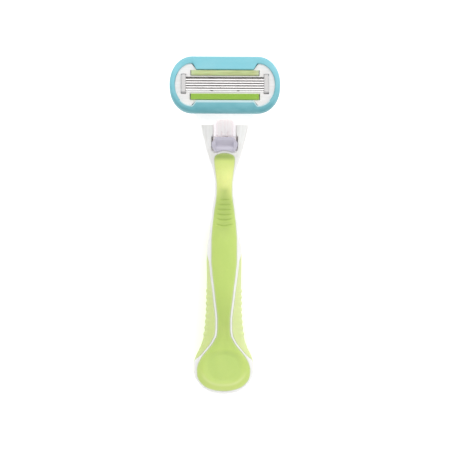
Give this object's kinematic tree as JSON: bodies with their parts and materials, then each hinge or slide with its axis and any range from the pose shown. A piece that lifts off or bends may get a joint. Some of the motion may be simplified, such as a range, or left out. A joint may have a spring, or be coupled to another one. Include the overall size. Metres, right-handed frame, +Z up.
{
  "type": "cartridge razor",
  "caption": "Hand razor with a pivoting multi-blade cartridge, sprung release button and a soft-grip handle with a thumb dish.",
  "frame": {"origin": "bottom centre of the bounding box: on the floor the handle's back rests on, midway along the length and width", "axes": "+Y from the tail to the head, +X along the blades, +Z up out of the front of the handle and the blades"},
  "size_m": [0.0486, 0.1484, 0.0307],
  "materials": {
    "white_core": "satin white, slightly translucent",
    "pale_green_rubber": "soft matt",
    "lime_rubber": "soft satin",
    "translucent_white": "translucent white",
    "plunger_white": "smooth",
    "lavender_translucent": "translucent lavender grey",
    "connector_white": "satin white",
    "housing_white": "satin off-white",
    "teal_rubber": "soft satin teal",
    "lubricant_strip": "waxy pale yellow-green",
    "guard_green": "soft bright green",
    "spring_steel": "drawn wire",
    "blade_steel": "fine ground",
    "support_steel": "rolled",
    "clip_alloy": "satin"
  },
  "bodies": {
    "handle": {"handle_core": "white_core", "front_grip": "pale_green_rubber", "rear_grip": "lime_rubber", "docking_nose": "translucent_white", "plunger_spring": "spring_steel", "button_spring_left": "spring_steel", "button_spring_right": "spring_steel"},
    "button": {"release_button": "lavender_translucent"},
    "plunger": {"plunger": "plunger_white"},
    "connector": {"connector_yoke": "connector_white"},
    "head": {"blade_housing": "housing_white", "comfort_surround": "teal_rubber", "lubricating_strip": "lubricant_strip", "guard_strip": "guard_green", "clip_left": "clip_alloy", "clip_right": "clip_alloy"},
    "blade_unit_1": {"blade_1": "blade_steel", "blade_support_1": "support_steel"},
    "blade_unit_2": {"blade_2": "blade_steel", "blade_support_2": "support_steel"},
    "blade_unit_3": {"blade_3": "blade_steel", "blade_support_3": "support_steel"},
    "blade_unit_4": {"blade_4": "blade_steel", "blade_support_4": "support_steel"},
    "blade_unit_5": {"blade_5": "blade_steel", "blade_support_5": "support_steel"}
  },
  "joints": [
    {"name": "cartridge_release", "type": "slide", "parent": "handle", "child": "connector", "axis": [0, 1, 0], "range_m": [0, 0.016]},
    {"name": "cartridge_pivot", "type": "hinge", "parent": "connector", "child": "head", "pos_m": [0, 0.0564, 0.0203], "axis": [-1, 0, 0], "range_deg": [0, 40], "stiffness_Nm_per_rad": 0.02, "springref_deg": -17.19},
    {"name": "plunger_slide", "type": "slide", "parent": "handle", "child": "plunger", "axis": [0, -1, 0], "range_m": [0, 0.0022], "deforming": ["plunger_spring"]},
    {"name": "button_slide", "type": "slide", "parent": "handle", "child": "button", "axis": [0, 1, 0], "range_m": [0, 0.0024], "stiffness_N_per_m": 300, "springref_m": -0.002, "deforming": ["button_spring_left", "button_spring_right"]},
    {"name": "blade_1_float", "type": "slide", "parent": "head", "child": "blade_unit_1", "axis": [0, -0.225, -0.9744], "range_m": [0, 0.0003], "stiffness_N_per_m": 400, "springref_m": -0.0005},
    {"name": "blade_2_float", "type": "slide", "parent": "head", "child": "blade_unit_2", "axis": [0, -0.225, -0.9744], "range_m": [0, 0.0003], "stiffness_N_per_m": 400, "springref_m": -0.0005},
    {"name": "blade_3_float", "type": "slide", "parent": "head", "child": "blade_unit_3", "axis": [0, -0.225, -0.9744], "range_m": [0, 0.0003], "stiffness_N_per_m": 400, "springref_m": -0.0005},
    {"name": "blade_4_float", "type": "slide", "parent": "head", "child": "blade_unit_4", "axis": [0, -0.225, -0.9744], "range_m": [0, 0.0003], "stiffness_N_per_m": 400, "springref_m": -0.0005},
    {"name": "blade_5_float", "type": "slide", "parent": "head", "child": "blade_unit_5", "axis": [0, -0.225, -0.9744], "range_m": [0, 0.0003], "stiffness_N_per_m": 400, "springref_m": -0.0005}
  ],
  "couplings": [
    {"joint": "plunger_slide", "follows": "cartridge_pivot", "m_per_rad": 0.0031}
  ]
}
